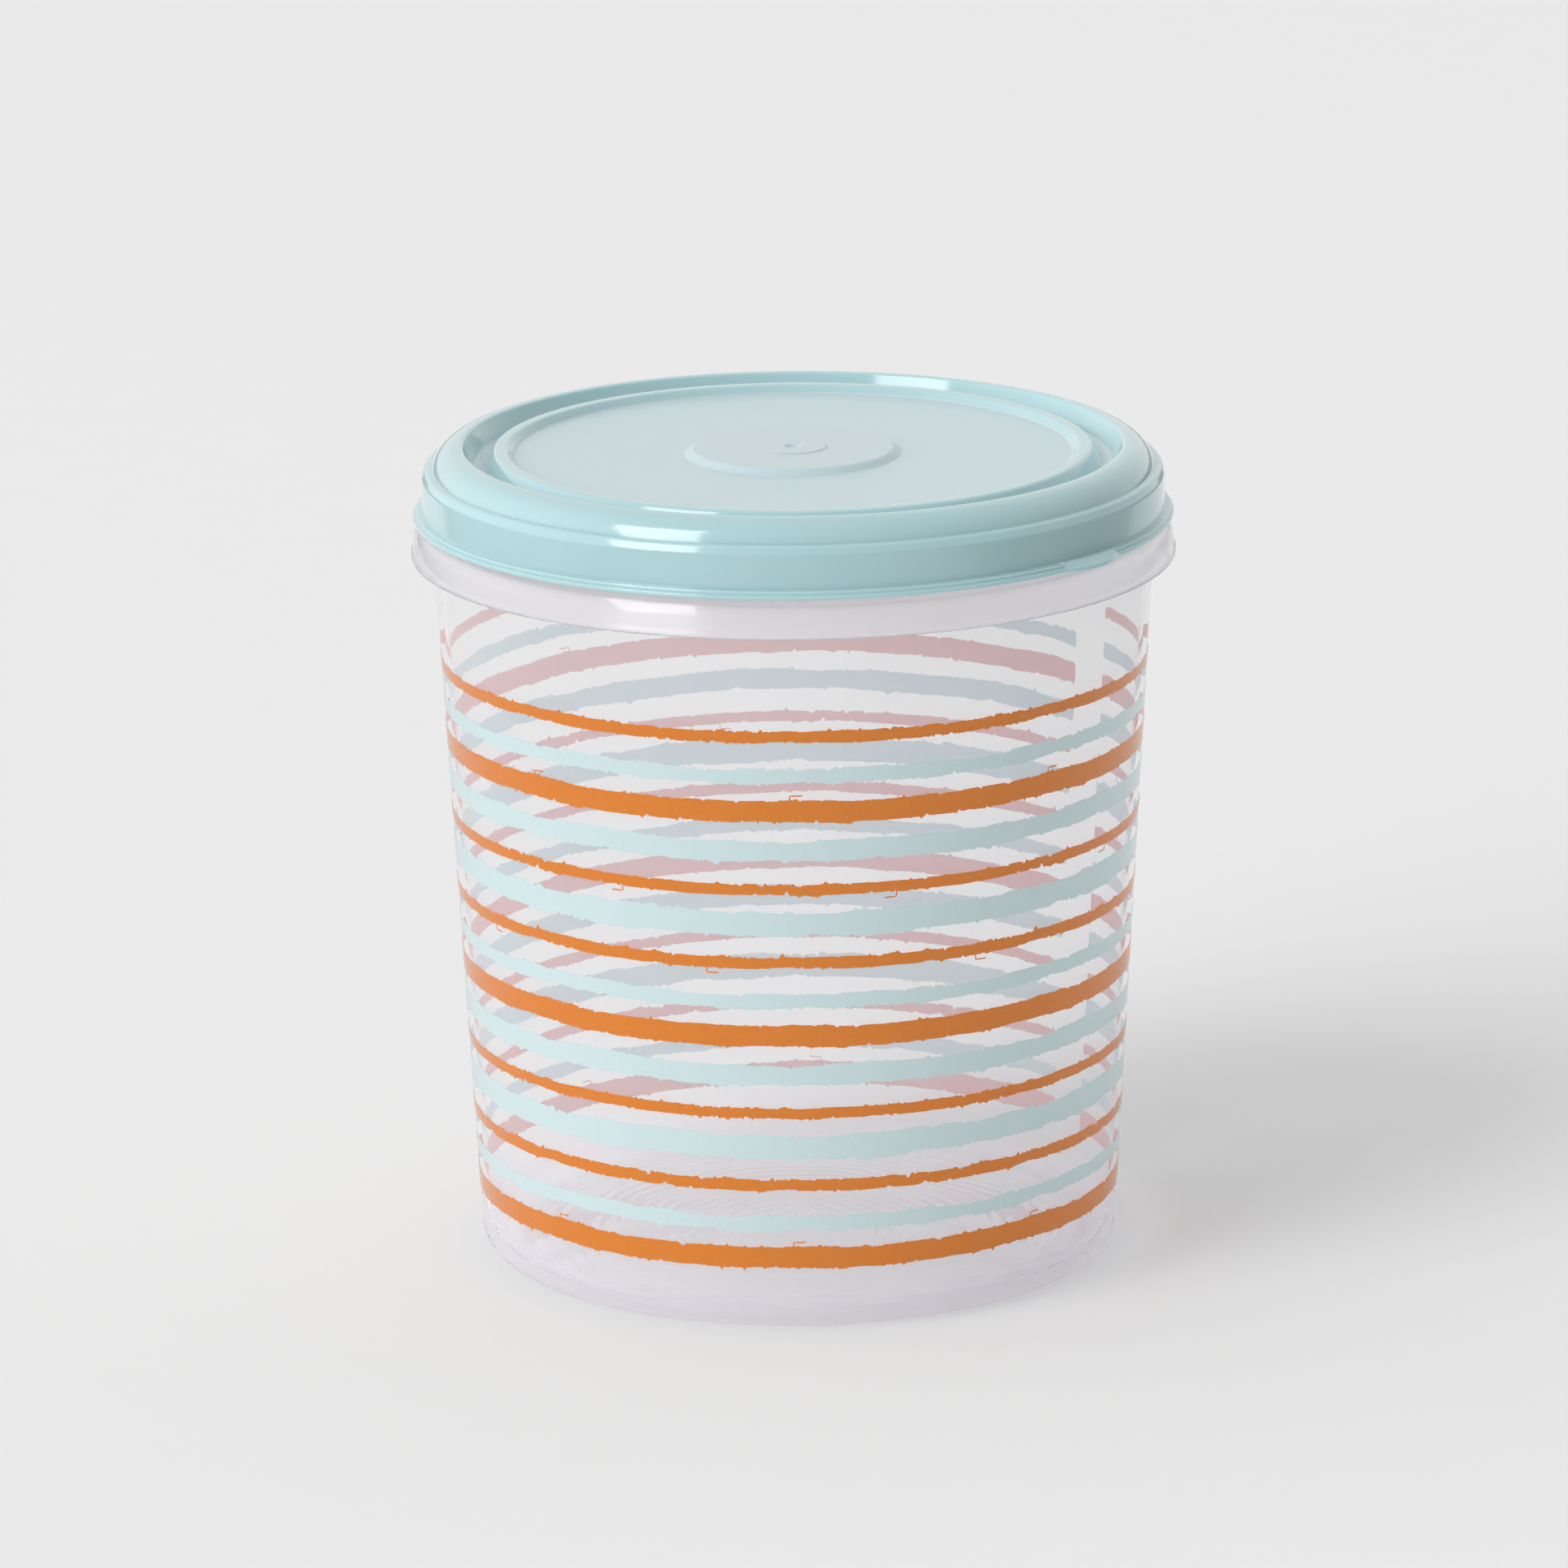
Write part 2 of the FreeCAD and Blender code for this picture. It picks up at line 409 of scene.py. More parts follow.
def bump(tree, shader, height, strength, distance):
    """Fine relief on a shader, from heights that vary over the surface."""
    relief = place(
        tree, "ShaderNodeBump",
        {"Height": height, "Strength": strength, "Distance": distance * MM},
    )
    tree.links.new(relief.outputs[0], shader.inputs["Normal"])


def clear_plastic(name, wear, dark, pale, clearness, smooth, coat, ior, shade):
    """Clear moulded plastic in a faint cloudy tint, which lamps and bounced light shine through."""
    material, tree, shader, output = new_material(name)
    worn = use_group(tree, wear, {"Smooth": smooth, "Scratched": smooth + SCRATCH_HAZE, "Grain": 300.0})
    coordinates = place(tree, "ShaderNodeTexCoord").outputs["Object"]
    cloud = place(tree, "ShaderNodeTexNoise", {"Vector": coordinates, "Scale": 25.0, "Detail": 2.0})
    tint = place(
        tree, "ShaderNodeMixRGB",
        {"Fac": cloud.outputs[0], "Color1": (*dark, 1), "Color2": (*pale, 1)},
    )
    height = place(tree, "ShaderNodeSeparateXYZ", {0: coordinates}).outputs["Z"]
    low = place(
        tree, "ShaderNodeMapRange",
        {"Value": height, "From Min": HAZE_TOP * MM, "From Max": INSIDE_FLOOR * MM},
        interpolation_type="SMOOTHSTEP",
    )
    flow = place(
        tree, "ShaderNodeTexWave",
        {"Vector": coordinates, "Scale": 170.0, "Distortion": 24.0, "Detail": 1.0, "Detail Scale": 0.15},
        bands_direction="Z",
    )
    gap = place(tree, "ShaderNodeMath", {0: flow.outputs["Fac"], 1: cloud.outputs[0]}, operation="MULTIPLY")
    rest = place(
        tree, "ShaderNodeMapRange", {"Value": gap.outputs[0], "From Max": 0.5, "To Min": 1.0, "To Max": 0.1}
    )
    amount = place(tree, "ShaderNodeMath", {0: low.outputs[0], 1: rest.outputs[0]}, operation="MULTIPLY")
    hazed = place(
        tree, "ShaderNodeMixRGB",
        {"Fac": amount.outputs[0], "Color1": tint.outputs[0], "Color2": (*HAZE_TINT, 1)},
    )
    tree.links.new(hazed.outputs[0], shader.inputs["Base Color"])
    tree.links.new(worn["Roughness"], shader.inputs["Roughness"])
    shader.inputs["Transmission Weight"].default_value = clearness
    shader.inputs["Coat Weight"].default_value = coat
    shader.inputs["IOR"].default_value = ior
    bump(tree, shader, worn["Height"], strength=0.02, distance=0.05)
    rays = place(tree, "ShaderNodeLightPath").outputs
    lets_by = place(
        tree, "ShaderNodeMath", {0: rays["Is Shadow Ray"], 1: rays["Is Diffuse Ray"]}, operation="MAXIMUM"
    )
    passing = place(tree, "ShaderNodeBsdfTransparent", {"Color": (*shade, 1)})
    mixed = place(
        tree, "ShaderNodeMixShader",
        {0: lets_by.outputs[0], 1: shader.outputs[0], 2: passing.outputs[0]},
    )
    tree.links.new(mixed.outputs[0], output.inputs["Surface"])
    return material


def lid_plastic(name, wear, dark, pale, smooth, scratched, grain, relief, coat):
    """Aqua moulded plastic, glossy or satin, a little translucent, in a colour that drifts slightly."""
    material, tree, shader, _ = new_material(name)
    worn = use_group(tree, wear, {"Smooth": smooth, "Scratched": scratched, "Grain": grain})
    coordinates = place(tree, "ShaderNodeTexCoord").outputs["Object"]
    cloud = place(tree, "ShaderNodeTexNoise", {"Vector": coordinates, "Scale": 18.0, "Detail": 3.0})
    colour = place(
        tree, "ShaderNodeMixRGB",
        {"Fac": cloud.outputs[0], "Color1": (*dark, 1), "Color2": (*pale, 1)},
    )
    tree.links.new(colour.outputs[0], shader.inputs["Base Color"])
    tree.links.new(worn["Roughness"], shader.inputs["Roughness"])
    shader.inputs["IOR"].default_value = 1.5
    shader.inputs["Coat Weight"].default_value = coat
    shader.inputs["Coat Roughness"].default_value = smooth
    shader.inputs["Subsurface Weight"].default_value = 0.5
    shader.inputs["Subsurface Radius"].default_value = (0.6, 1.0, 1.0)
    shader.inputs["Subsurface Scale"].default_value = 2.0 * MM
    bump(tree, shader, worn["Height"], strength=relief, distance=0.05)
    return material


def stripe_ink(name, mottle, full, thin, bare, amount, roughness, glow):
    """Printed ink, mottled as a screen lays it down. The far face of its thin layer isn't seen from
    inside it, and glow is the share of its colour that comes from light behind the layer."""
    material, tree, shader, output = new_material(name)
    inked = use_group(
        tree, mottle, {"Full": (*full, 1), "Thin": (*thin, 1), "Bare": (*bare, 1), "Mottle": amount}
    )
    tree.links.new(inked["Color"], shader.inputs["Base Color"])
    shader.inputs["Roughness"].default_value = roughness
    shader.inputs["Coat Weight"].default_value = 0.55
    bump(tree, shader, inked["Height"], strength=0.05, distance=0.02)
    lit_through = place(tree, "ShaderNodeBsdfTranslucent", {"Color": inked["Color"]})
    face = place(tree, "ShaderNodeMixShader", {0: glow, 1: shader.outputs[0], 2: lit_through.outputs[0]})
    behind = place(tree, "ShaderNodeNewGeometry").outputs["Backfacing"]
    unseen = place(tree, "ShaderNodeBsdfTransparent")
    mixed = place(tree, "ShaderNodeMixShader", {0: behind, 1: face.outputs[0], 2: unseen.outputs[0]})
    tree.links.new(mixed.outputs[0], output.inputs["Surface"])
    return material


# Clear plastic: light that each surface lets by, darker and paler tint, tint of the haze near the
# base, and how much rougher its scratches are
CLEAR_SHADE = (0.985, 0.983, 0.988)
BASE_SHADE = (0.95, 0.945, 0.955)
CLEAR_DARK = (0.965, 0.962, 0.968)
CLEAR_PALE = (0.98, 0.977, 0.983)
HAZE_TINT = (0.945, 0.93, 0.962)
SCRATCH_HAZE = 0.25

# Darker and paler fibres of the paper
PAPER_DARK = (0.86, 0.86, 0.86)
PAPER_PALE = (0.87, 0.87, 0.87)


def floor_paper():
    """Plain pale floor."""
    material, tree, shader, _ = new_material("floor_paper")
    coordinates = place(tree, "ShaderNodeTexCoord").outputs["Object"]
    fibres = place(tree, "ShaderNodeTexNoise", {"Vector": coordinates, "Scale": 60.0, "Detail": 4.0})
    colour = place(
        tree, "ShaderNodeMixRGB",
        {"Fac": fibres.outputs[0], "Color1": (*PAPER_DARK, 1), "Color2": (*PAPER_PALE, 1)},
    )
    tree.links.new(colour.outputs[0], shader.inputs["Base Color"])
    shader.inputs["Roughness"].default_value = 0.9
    shader.inputs["Specular IOR Level"].default_value = 0.1
    return material


def rippled(radius, height, angle):
    """Inside of the floor with its faint wavy ripples; elsewhere the tub as it is."""
    if height < INSIDE_FLOOR - FOOT_RISE or height > INSIDE_FLOOR + STRAIGHT_END or radius > RIPPLE_REACH:
        return radius, height
    turn = math.radians(angle)
    wander = sum(reach * math.sin(count * turn + shift) for reach, count, shift in RIPPLE_WAVES)
    reach, count, pitch = RIPPLE_TWIST
    wander += reach * math.sin(count * turn + radius / pitch)
    swell = math.sin(2 * math.pi * (radius + wander) / RIPPLE_LENGTH)
    fade = min(1, radius / RIPPLE_FADE_IN, (RIPPLE_REACH - radius) / RIPPLE_FADE_OUT)
    return radius, height + RIPPLE_HEIGHT * swell * fade


def tub(finishes):
    """Tapered wall on a foot ring, hanging collar, and neck with its snap ring and rim."""
    ceiling = LEDGE - COLLAR_WALL
    collar_top = COLLAR_RADIUS - COLLAR_FLARE
    bead = COLLAR_BOTTOM + COLLAR_BEAD_HEIGHT
    waist = COLLAR_RADIUS - COLLAR_BEAD
    collar_rise = LEDGE - bead - COLLAR_BEAD
    collar_side = curve(
        collar_top, bead + COLLAR_BEAD, waist - collar_top, collar_rise, *COLLAR_TURNS, COLLAR_STEPS
    )
    neck_inside = NECK_RADIUS - WALL
    blend_low = LEDGE + WALL - NECK_BLEND
    profile = outline([
        (0, FOOT_RISE),
        (FOOT_INSIDE - FOOT_SLOPE, FOOT_RISE, ROUND_RIM),
        (FOOT_INSIDE, 0, ROUND_RIM),
        (BASE_RADIUS, 0, CORNER_ROUND),
        (wall_radius(LOW_HAZE), LOW_HAZE),
        (wall_radius(ceiling), ceiling, ROUND_FINE),
        (collar_top - COLLAR_WALL, ceiling, ROUND_FINE),
        (COLLAR_RADIUS - COLLAR_WALL, COLLAR_BOTTOM, ROUND_EDGE),
        (COLLAR_RADIUS, COLLAR_BOTTOM, ROUND_EDGE),
        (COLLAR_RADIUS, bead, ROUND_EDGE),
        (waist, bead + COLLAR_BEAD, ROUND_CRISP),
        *collar_side,
        (NECK_RADIUS, LEDGE, ROUND_EDGE),
        (NECK_RADIUS, RING_HEIGHT - RING_SLOPE, ROUND_SOFT),
        (NECK_RADIUS + RING_REACH, RING_HEIGHT, ROUND_SOFT),
        (NECK_RADIUS, RING_HEIGHT + RING_SLOPE, ROUND_SOFT),
        (NECK_RADIUS, RIM_TOP, ROUND_RIM),
        (neck_inside, RIM_TOP, ROUND_RIM),
        (neck_inside, LEDGE + WALL, BLEND_ROUND),
        (wall_radius(blend_low) - WALL, blend_low, BLEND_ROUND),
        (wall_radius(LOW_HAZE) - WALL, LOW_HAZE),
        (wall_radius(INSIDE_FLOOR) - WALL, INSIDE_FLOOR, CORNER_ROUND - WALL),
        (0, INSIDE_FLOOR),
    ])
    ripple_radii = np.arange(RIPPLE_REACH, RIPPLE_START, -RIPPLE_STEP)
    ripples = [Vector((radius, INSIDE_FLOOR)) for radius in ripple_radii]
    profile = profile[:-1] + ripples + profile[-1:]
    angles = [360 * step / COLUMNS for step in range(COLUMNS)]

    def finish_at(start, end):
        low, high = sorted((start.y, end.y))
        inner, outer = sorted((start.x, end.x))
        if low > LEDGE - STRAIGHT_END and outer < NECK_RADIUS + RING_REACH + STRAIGHT_END:
            return NECK_FINISH
        if low > COLLAR_BOTTOM - COLLAR_WALL and outer > wall_radius(LEDGE):
            return COLLAR_FINISH
        if low > INSIDE_FLOOR - STRAIGHT_END and outer < RIPPLE_REACH + STRAIGHT_END and high < BASE_HAZE:
            return FLOOR_FINISH
        if high < BASE_HAZE and inner > FOOT_INSIDE - 3 * FOOT_SLOPE:
            return BASE_FINISH
        return LOW_FINISH if BASE_HAZE < high < LOW_HAZE + STRAIGHT_END else WALL_FINISH

    return turned("tub_clear_wall", profile, angles, finishes, shape=rippled, slot_at=finish_at)


def swollen(radius, height, angle):
    """The lid's flange where the pull tab swells out of it; elsewhere the lid as it is."""
    rise = height - FLANGE_BOTTOM
    middle = (TAB_START + TAB_END) / 2
    if radius < SKIRT_RADIUS or rise > TAB_TOP or not TAB_START < angle < TAB_END:
        return radius, height
    share = (angle - middle) / (TAB_END - TAB_START) * 2
    tip = FLANGE_RADIUS + TAB_REACH * (1 - share ** 2)
    slope = min(1, (TAB_TOP - rise) / (TAB_TOP - TAB_LIP))
    return max(radius, SKIRT_RADIUS + (tip - SKIRT_RADIUS) * slope), height


def lid(finishes):
    """Flange, skirt, roll over the rim, trough, ridge, satin panel and raised centre disc."""
    trough_under = TROUGH - LID_WALL
    roll_ceiling = RIM_TOP + FIT_GAP
    lip = FLANGE_BOTTOM + LIP_HEIGHT
    bead = FLANGE_BOTTOM + BEAD_HEIGHT
    inside = [
        (0, PANEL - LID_WALL),
        (CREST_OUT - LID_WALL / 2, PANEL - LID_WALL, ROUND_SMALL),
        (TROUGH_IN - LID_WALL / 2, trough_under, ROUND_SOFT),
        (ROLL_INSIDE, trough_under, ROUND_FINE),
        (SEAL_RADIUS, trough_under + SEAL_HEIGHT, ROUND_EDGE),
        (ROLL_INSIDE, roll_ceiling, ROUND_SMALL),
        (NECK_RADIUS + FIT_GAP, roll_ceiling, ROUND_SMALL),
        (ROLL_OUT - LID_WALL, SHOULDER - LID_WALL, ROUND_SMALL),
        (SKIRT_RADIUS - LID_WALL, SHOULDER - LID_WALL, ROUND_SOFT),
        (SNAP_RADIUS, FLANGE_BOTTOM + SNAP_HEIGHT, ROUND_SMALL),
        (SKIRT_RADIUS - LID_WALL + LEAD_IN, FLANGE_BOTTOM, ROUND_CRISP),
    ]
    flange = [
        (FLANGE_RADIUS, FLANGE_BOTTOM, ROUND_FINE),
        (FLANGE_RADIUS, lip, ROUND_EDGE),
        (BEAD_RADIUS, lip + LIP_STEP, ROUND_HAIR),
        (BEAD_RADIUS, bead, BEAD_ROUND),
        (SKIRT_RADIUS, bead + BEAD_STEP, BEAD_ROOT_ROUND),
        (SKIRT_RADIUS, SHOULDER - SHOULDER_DROP, SHOULDER_ROUND),
        (SKIRT_RADIUS - SHOULDER_SLOPE, SHOULDER - SHOULDER_DIP, ROUND_SOFT),
    ]
    lean = math.radians(ROLL_LEAN)
    reach, rise = ROLL_REACH / math.cos(lean), ROLL_HEIGHT / (1 - math.sin(lean))
    roll = curve(CROWN, ROLL_TOP - rise, reach, rise, ROLL_LEAN, 90, ROLL_STEPS)
    roll += curve(CROWN, ROLL_TOP - CROWN_DROP, CROWN_WIDTH, CROWN_DROP, 90, 180, CROWN_STEPS)[1:-1]
    top = [
        (ROLL_IN, ROLL_TOP - CROWN_DROP, ROUND_FULL),
        (TROUGH_OUT, TROUGH, ROUND_FULL),
        (TROUGH_IN, TROUGH, ROUND_WIDE),
        (CREST_OUT, CREST, ROUND_WIDE),
        (CREST_IN, CREST, ROUND_SOFT),
        (PANEL_RADIUS, PANEL, ROUND_EDGE),
        (DISC_RADIUS, PANEL, ROUND_FINE),
        (DISC_RADIUS - DISC_SLOPE, DISC_TOP, DISC_ROUND),
        (GATE_RADIUS + GATE_SLOPE, DISC_TOP, ROUND_HAIR),
        (GATE_RADIUS, DISC_TOP + GATE_RISE, ROUND_HAIR),
        (GATE_PIT, DISC_TOP + GATE_RISE, ROUND_FINE),
        (GATE_FLOOR, DISC_TOP - GATE_DEPTH, ROUND_FINE),
        (GATE_STUB, DISC_TOP - GATE_STUB_DROP, ROUND_CRISP),
        (0, DISC_TOP - GATE_STUB_DROP),
    ]
    profile = outline(inside + flange + roll + top)
    around = [360 * step / COLUMNS for step in range(COLUMNS)]
    around = [angle for angle in around if not TAB_START - TAB_MARGIN < angle < TAB_END + TAB_MARGIN]
    beside = [TAB_START - TAB_BESIDE, TAB_END, TAB_END + TAB_BESIDE]
    tab_turn = TAB_END - TAB_START - TAB_LAST
    tab = [TAB_START + tab_turn * step / TAB_COLUMNS for step in range(TAB_COLUMNS + 1)]

    def finish_at(start, end):
        reach = max(start.x, end.x)
        if min(start.y, end.y) < TROUGH - STRAIGHT_END or reach > CROWN - CROWN_WIDTH / 2:
            return GLOSS_FINISH
        if reach > CREST_IN - CREST_MARGIN:
            # Painted light: the trough's floor and the foot of its walls get a paler finish where the roll
            # shades them.
            return TROUGH_PAINTED_LIGHT_FINISH if max(start.y, end.y) < TROUGH + TROUGH_PAINTED_LIGHT_HEIGHT else GLOSS_FINISH
        # The satin panel and the disc are painted paler than the gloss: painted sheen of the pale backdrop on
        # the lid's top.
        return DISC_SHEEN_FINISH if reach < DISC_RADIUS - DISC_SLOPE else SATIN_SHEEN_FINISH

    return turned(
        "lid_shell", profile, sorted(around + beside + tab), finishes, shape=swollen, slot_at=finish_at
    )


# Stripes of one repeat: a name, the levels of its edges below the top, and how far its edges wander
STRIPES = [
    ("orange_thin", 0.0, 2.17, 0.06),
    ("aqua_thin", 7.0, 9.75, 0.15),
    ("orange_wide", 13.0, 17.0, 0.1),
    ("aqua_wide", 20.5, 24.34, 0.15),
    ("orange_narrow", 28.67, 30.67, 0.06),
    ("aqua_broad", 33.84, 38.42, 0.18),
]
STRIPE_COUNT = 15

# Whiskers of ink: the stripe that each one grows from, the repeats that have it, and its line over
# the stripe's upper edge or under its lower edge
WHISKER_WIDTH = 0.24
WHISKERS = [
    ("orange_wide", (0, 2), 1, [(24.6, -0.6), (24.75, 0.95), (25.2, 1.02), (26.4, 1.0), (26.95, 1.08)]),
    ("orange_narrow", (0,), 0, [(41.6, -1.08), (42.2, -1.0), (43.2, -1.0), (43.75, -0.95), (43.85, 0.6)]),
    ("orange_thin", (1,), 0, [(9.2, 0.6), (9.35, -0.92), (9.8, -0.98), (10.8, -0.97), (11.5, -1.0)]),
]


def strip(points, faces, face_slots, pairs):
    """Thin closed strip of ink between two lines on the wall, given in pairs (angle, height)."""
    first = len(points)
    for low, high in pairs:
        for lift in (INK_OUTER, INK_INNER):
            for angle, height in (low, high):
                points.append(spot(wall_radius(height) + lift, angle, height))
    last = first + 4 * (len(pairs) - 1)
    for a in range(first, last, 4):
        b = a + 4
        faces += [(a, b, b + 1, a + 1), (a + 2, a + 3, b + 3, b + 2)]
        faces += [(a, a + 2, b + 2, b), (a + 1, b + 1, b + 3, a + 3)]
        face_slots += [0, 1, 0, 0]
    faces += [(first, first + 1, first + 3, first + 2), (last, last + 2, last + 3, last + 1)]
    face_slots += [0, 0]


def whisker_pairs(line, start_angle, level):
    """Two sides of a whisker's line, from distances along the tile and heights over a level."""
    turn = TILE_TURN / TILE_WIDTH
    places = [Vector(point) for point in line]
    pairs = []
    for i, here in enumerate(places):
        ahead = places[min(i + 1, len(places) - 1)] - places[max(i - 1, 0)]
        side = Vector((-ahead.y, ahead.x)).normalized() * WHISKER_WIDTH / 2
        sides = (here - side, here + side)
        pairs.append([(start_angle + point.x * turn, level + point.y) for point in sides])
    return pairs


def wandering(along, chance, wander):
    """Slow wander of one edge, in waves that repeat with the tile."""
    lift = np.zeros(len(along))
    for waves in WAVES:
        turn = 2 * math.pi * (waves * along / TILE_WIDTH + chance.uniform(0, 1))
        lift += wander / math.sqrt(waves) * np.sin(turn)
    return lift


def torn(along, chance, count, lengths, depth):
    """Heights of the tears along one edge, which repeat with the tile."""
    lift = np.zeros(len(along))
    for _ in range(count):
        past = (along - chance.uniform(0, TILE_WIDTH)) % TILE_WIDTH
        left = chance.uniform(*lengths) - past
        share = np.clip(np.minimum(past, left) / TEAR_SLOPE, 0, 1)
        lift += chance.uniform(-depth, depth) * share
    return lift


def stripe_edge(along, artwork, chance, wander):
    """One edge of a stripe: what the artwork holds, and what the printing tore."""
    drawn = wandering(along, artwork, wander) + torn(along, artwork, BITE_COUNT, BITE_LENGTHS, BITE_DEPTH)
    printed = torn(along, chance, TEAR_COUNT, TEAR_LENGTHS, TEAR_DEPTH)
    return drawn + printed + chance.normal(0, PRINT_GRAIN, len(along))


def stripe(number, kind, top, low, wander, materials):
    """One printed stripe round the wall, with its torn edges, rounded start and whiskers."""
    chance = np.random.default_rng(number)
    artwork = np.random.default_rng(STRIPE_COUNT + number % len(STRIPES))
    repeat = number // len(STRIPES)
    level = REPEAT_TOP - repeat * REPEAT_HEIGHT
    turn = TILE_TURN / TILE_WIDTH
    start = PRINT_START + chance.uniform(-START_SPREAD, START_SPREAD)
    angles = np.arange(start, PRINT_END, PRINT_COLUMN * turn)
    along = (angles - TILE_START) / turn
    tops = level - top + stripe_edge(along, artwork, chance, wander)
    lows = np.minimum(level - low + stripe_edge(along, artwork, chance, wander), tops - LEAST_WIDTH)
    past = np.minimum((angles - start) / turn / END_ROUND, 1)
    shrink = END_ROUND / 2 * (1 - np.sqrt(1 - (1 - past) ** 2))
    points, faces, face_slots = [], [], []
    strip(points, faces, face_slots, list(zip(zip(angles, lows + shrink), zip(angles, tops - shrink))))
    for grows_from, repeats, upper, line in WHISKERS:
        if grows_from == kind and repeat in repeats:
            root = level - (top if upper else low)
            tile = TILE_START + math.ceil((start - TILE_START) / TILE_TURN) * TILE_TURN
            while tile + TILE_TURN < PRINT_END:
                strip(points, faces, face_slots, whisker_pairs(line, tile, root))
                tile += TILE_TURN
    return mesh_piece(f"stripe_{number + 1:02d}_{kind}", points, faces, materials, face_slots)


def lamp(name, direction, distance, width, height, lean, level):
    """Soft lamp, leaned about its beam, that gives a white card facing it that share of full white."""
    light = bpy.data.lights.new(name, "AREA")
    light.shape = "RECTANGLE"
    light.size = width
    light.size_y = height
    light.energy = level * math.pi ** 2 * distance ** 2
    made = bpy.data.objects.new(name, light)
    bpy.context.scene.collection.objects.link(made)
    towards = Vector(direction).normalized()
    made.location = towards * distance
    turned_to = towards.to_track_quat("Z", "Y") @ Quaternion((0, 0, 1), math.radians(lean))
    made.rotation_euler = turned_to.to_euler()


# Direction of the white card
CARD_SIDE = (0.72, 0.69, 0.0)


def studio(left, right, card, surround, backdrop):
    """Light from all round that falls off from left to right, with a soft white card at the back right,
    and is dimmer below the paper. A plain pale backdrop is what is seen or looked through. Mirrors
    show that backdrop too, or the light where that is stronger."""
    world = bpy.data.worlds.new("studio")
    bpy.context.scene.world = world
    world.use_nodes = True
    tree = world.node_tree
    tree.nodes.clear()
    rays = place(tree, "ShaderNodeLightPath").outputs
    seen = place(
        tree, "ShaderNodeMath",
        {0: rays["Is Camera Ray"], 1: rays["Is Transmission Ray"]}, operation="MAXIMUM",
    )
    direction = place(tree, "ShaderNodeTexCoord").outputs["Generated"]
    axes = place(tree, "ShaderNodeSeparateXYZ", {0: direction}).outputs
    leftward = place(tree, "ShaderNodeMapRange", {"Value": axes["X"], "From Min": 1.0, "From Max": -1.0})
    swell = place(tree, "ShaderNodeMath", {0: leftward.outputs[0], 1: 2.0}, operation="POWER")
    level = place(tree, "ShaderNodeMapRange", {"Value": swell.outputs[0], "To Min": right, "To Max": left})
    facing = place(tree, "ShaderNodeVectorMath", {0: direction, 1: CARD_SIDE}, operation="DOT_PRODUCT")
    ahead = place(tree, "ShaderNodeMath", {0: facing.outputs["Value"], 1: 0.0}, operation="MAXIMUM")
    spread = place(tree, "ShaderNodeMath", {0: ahead.outputs[0], 1: 2.0}, operation="POWER")
    bounced = place(tree, "ShaderNodeMath", {0: spread.outputs[0], 1: card}, operation="MULTIPLY")
    lit = place(tree, "ShaderNodeMath", {0: level.outputs[0], 1: bounced.outputs[0]}, operation="ADD")
    over = place(tree, "ShaderNodeMath", {0: axes["Z"], 1: 0.0}, operation="GREATER_THAN")
    aloft = place(tree, "ShaderNodeMapRange", {"Value": over.outputs[0], "To Min": surround, "To Max": 1.0})
    least = place(tree, "ShaderNodeMath", {0: rays["Is Glossy Ray"], 1: backdrop}, operation="MULTIPLY")
    shining = place(tree, "ShaderNodeMath", {0: lit.outputs[0], 1: least.outputs[0]}, operation="MAXIMUM")
    strength = place(
        tree, "ShaderNodeMath", {0: shining.outputs[0], 1: aloft.outputs[0]}, operation="MULTIPLY"
    )
    lighting = place(tree, "ShaderNodeBackground", {"Strength": strength.outputs[0]})
    shown = place(tree, "ShaderNodeBackground", {"Strength": backdrop})
    for background in (lighting, shown):
        background.inputs["Color"].default_value = (1, 1, 1, 1)
    mixed = place(
        tree, "ShaderNodeMixShader", {0: seen.outputs[0], 1: lighting.outputs[0], 2: shown.outputs[0]}
    )
    output = place(tree, "ShaderNodeOutputWorld")
    tree.links.new(mixed.outputs[0], output.inputs["Surface"])


# Key lamp: the side that it shines from, its distance and sizes in metres, its lean and its level
KEY_SIDE = (-0.616, -0.555, 0.559)
KEY_DISTANCE = 25.0
KEY_WIDTH = 11.0
KEY_HEIGHT = 21.7
KEY_LEAN = 18.0
KEY_LEVEL = 0.54

# Sides and level of the paper that the canister stands on, in metres
PAPER = (-0.49, 0.55, -1.2, 3.0)
PAPER_LEVEL = -0.0001


def floor():
    """Pale paper that the canister stands on."""
    mesh = bpy.data.meshes.new("floor")
    left, right, front, back = PAPER
    corners = [(x, y, PAPER_LEVEL) for x, y in ((left, front), (right, front), (right, back), (left, back))]
    mesh.from_pydata(corners, [], [(0, 1, 2, 3)])
    mesh.materials.append(floor_paper())
    made = bpy.data.objects.new("floor", mesh)
    bpy.context.scene.collection.objects.link(made)


# Camera: sensor and focal length, how far it sees in metres, its place, and its tilt down and roll
SENSOR_WIDTH = 36.0
FOCAL_LENGTH = 212.42
SIGHT_END = 100.0
CAMERA_PLACE = (-2.131, -1660.51, 521.01)
CAMERA_TILT = 14.6305
CAMERA_ROLL = -0.4933


def camera():
    """Long lens, a little above the lid, at the photograph's angle."""
    lens = bpy.data.cameras.new("camera")
    lens.sensor_width = SENSOR_WIDTH
    lens.lens = FOCAL_LENGTH
    lens.clip_end = SIGHT_END
    made = bpy.data.objects.new("camera", lens)
    bpy.context.scene.collection.objects.link(made)
    place_at = Matrix.Translation(Vector(CAMERA_PLACE) * MM)
    tilt = Matrix.Rotation(math.radians(90 - CAMERA_TILT), 4, "X")
    roll = Matrix.Rotation(math.radians(CAMERA_ROLL), 4, "Z")
    made.matrix_world = place_at @ tilt @ roll
    bpy.context.scene.camera = made


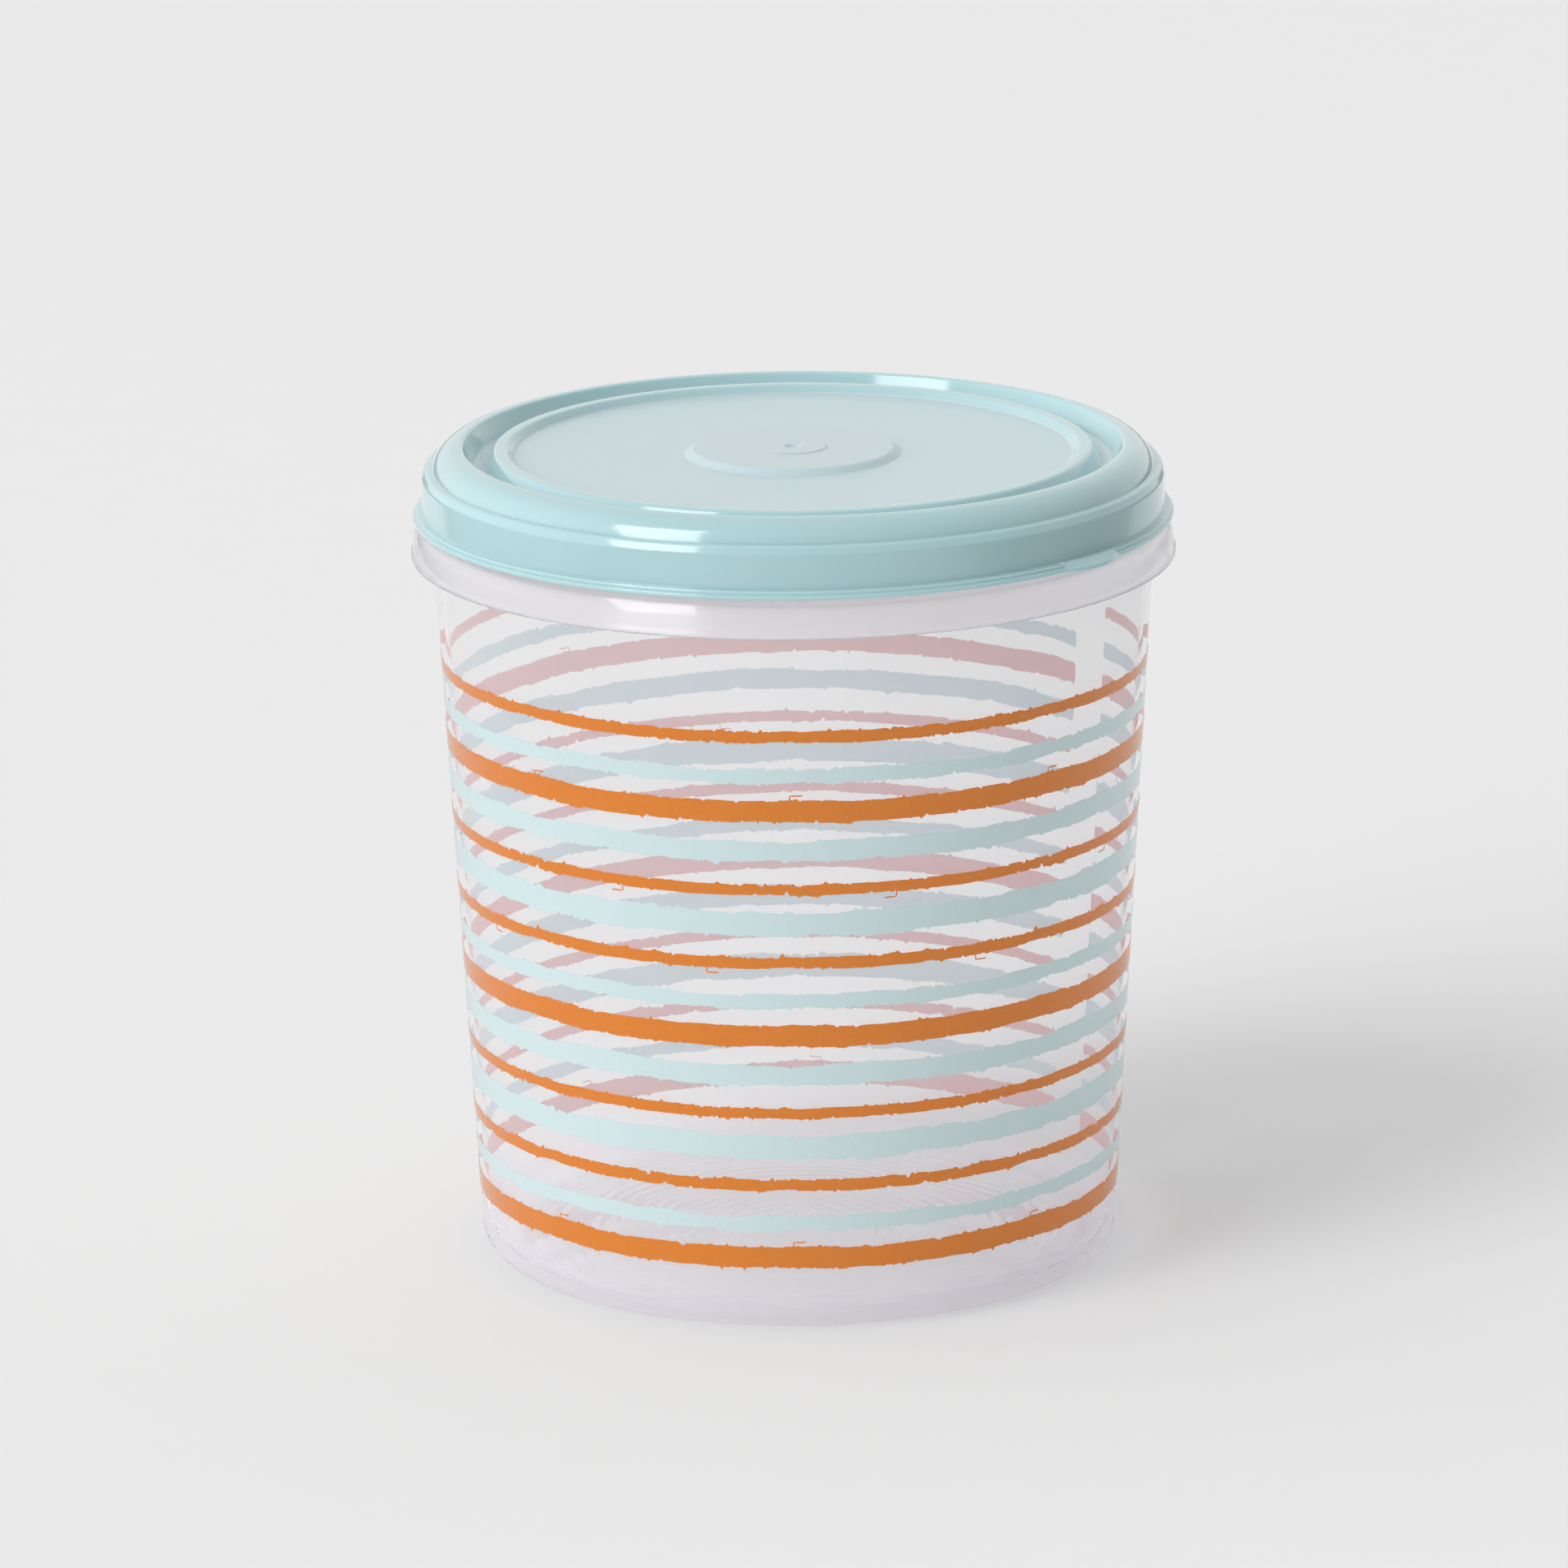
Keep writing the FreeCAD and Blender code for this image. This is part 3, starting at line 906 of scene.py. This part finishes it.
def canister():
    """Tub, lid and stripes, each on its body and in its finish."""
    wear = fine_wear()
    mottle = print_mottle()
    wall = tub([
        clear_plastic(
            "clear_wall", wear, CLEAR_DARK, CLEAR_PALE,
            clearness=0.88, smooth=0.03, coat=0.12, ior=1.01, shade=CLEAR_SHADE,
        ),
        clear_plastic(
            "clear_collar", wear, (0.957, 0.946, 0.971), (0.972, 0.961, 0.986),
            clearness=0.95, smooth=0.5, coat=0.8, ior=1.15, shade=CLEAR_SHADE,
        ),
        clear_plastic(
            "clear_base", wear, (0.94, 0.92, 0.96), (0.955, 0.935, 0.975),
            clearness=0.84, smooth=0.3, coat=0.2, ior=1.015, shade=BASE_SHADE,
        ),
        clear_plastic(
            "clear_floor", wear, CLEAR_DARK, CLEAR_PALE,
            clearness=0.88, smooth=0.03, coat=1.0, ior=1.05, shade=CLEAR_SHADE,
        ),
        clear_plastic(
            "clear_low", wear, CLEAR_DARK, CLEAR_PALE,
            clearness=0.86, smooth=0.1, coat=0.12, ior=1.01, shade=CLEAR_SHADE,
        ),
        clear_plastic(
            "clear_neck", wear, (0.95, 0.945, 0.96), (0.965, 0.96, 0.975),
            clearness=0.9, smooth=0.04, coat=1.0, ior=1.2, shade=CLEAR_SHADE,
        ),
    ])
    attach(wall, "tub")
    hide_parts("tub")
    cover = lid([
        lid_plastic(
            "lid_gloss", wear, (0.403, 0.604, 0.633), (0.428, 0.629, 0.658),
            smooth=0.1, scratched=0.2, grain=600.0, relief=0.01, coat=0.8,
        ),
        # Satin panel: real satin roughness and grain, in a colour painted paler than the gloss as painted
        # sheen.
        lid_plastic(
            "lid_satin_painted_sheen", wear, (0.52, 0.64, 0.67), (0.545, 0.665, 0.695),
            smooth=0.3, scratched=0.32, grain=2600.0, relief=0.1, coat=0.3,
        ),
        # Disc: satin roughness and grain, in a colour painted paler than the gloss as painted sheen.
        lid_plastic(
            "lid_disc_painted_sheen", wear, (0.50, 0.62, 0.65), (0.525, 0.645, 0.675),
            smooth=0.24, scratched=0.26, grain=2600.0, relief=0.1, coat=0.3,
        ),
        # Painted light: the gloss in a paler colour, for the floor of the trough, which the roll shades.
        lid_plastic(
            "lid_trough_painted_light", wear, (0.60, 0.735, 0.755), (0.625, 0.76, 0.78),
            smooth=0.1, scratched=0.2, grain=600.0, relief=0.01, coat=0.3,
        ),
    ])
    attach(cover, "lid")
    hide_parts("lid")
    inks = {
        "orange": [
            stripe_ink(
                "orange_ink", mottle, (0.765, 0.215, 0.01), (0.805, 0.265, 0.03), (0.88, 0.5, 0.25),
                amount=0.6, roughness=0.12, glow=0.25,
            ),
            stripe_ink(
                "orange_reverse", mottle, (0.73, 0.37, 0.37), (0.78, 0.46, 0.46), (0.82, 0.72, 0.72),
                amount=0.8, roughness=0.5, glow=0.75,
            ),
        ],
        "aqua": [
            stripe_ink(
                "aqua_ink", mottle, (0.645, 0.805, 0.815), (0.685, 0.84, 0.85), (0.8, 0.88, 0.88),
                amount=0.6, roughness=0.12, glow=0.25,
            ),
            stripe_ink(
                "aqua_reverse", mottle, (0.57, 0.69, 0.74), (0.64, 0.74, 0.77), (0.80, 0.82, 0.83),
                amount=0.8, roughness=0.5, glow=0.75,
            ),
        ],
    }
    for number in range(STRIPE_COUNT):
        kind, *sizes = STRIPES[number % len(STRIPES)]
        ink = kind.split("_")[0]
        band = stripe(number, kind, *sizes, inks[ink])
        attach(band, "tub")


bpy.context.scene.view_settings.view_transform = "Standard"
studio(left=1.33, right=0.29, card=0.65, surround=0.4, backdrop=0.83)
floor()
lamp("key_softbox", KEY_SIDE, KEY_DISTANCE, KEY_WIDTH, KEY_HEIGHT, KEY_LEAN, KEY_LEVEL)
canister()
camera()
